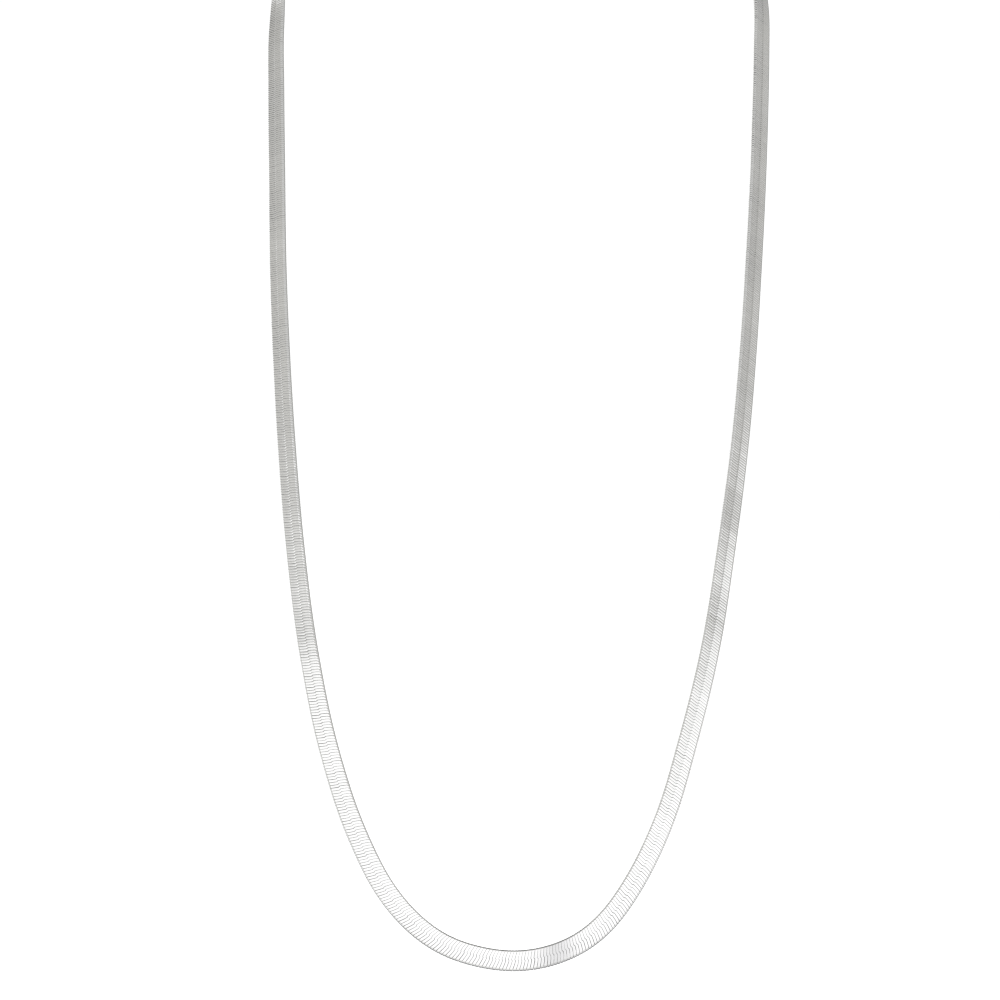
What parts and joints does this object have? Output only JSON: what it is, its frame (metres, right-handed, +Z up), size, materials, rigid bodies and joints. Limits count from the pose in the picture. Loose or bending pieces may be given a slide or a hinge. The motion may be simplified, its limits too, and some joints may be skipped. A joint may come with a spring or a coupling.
{
  "type": "herringbone chain necklace",
  "caption": "Flat herringbone chain necklace in polished silver, a closed loop worn round the neck, with end caps, jump rings and a clasp at the nape.",
  "frame": {"origin": "the middle of the neck's hollow, level with the closure at the nape", "axes": "+Z up, -Y to the wearer's front, +X to the wearer's left"},
  "size_m": [0.0941, 0.1662, 0.1993],
  "materials": {
    "silver_chain": "polished slats with fine grooves between them",
    "silver_cap": "polished",
    "silver_ring": "polished",
    "silver_clasp": "polished"
  },
  "bodies": {
    "root": {"chain": "silver_chain", "end_cap_left": "silver_cap", "end_cap_right": "silver_cap", "jump_ring_left": "silver_ring", "jump_ring_right": "silver_ring", "clasp": "silver_clasp"}
  },
  "joints": []
}
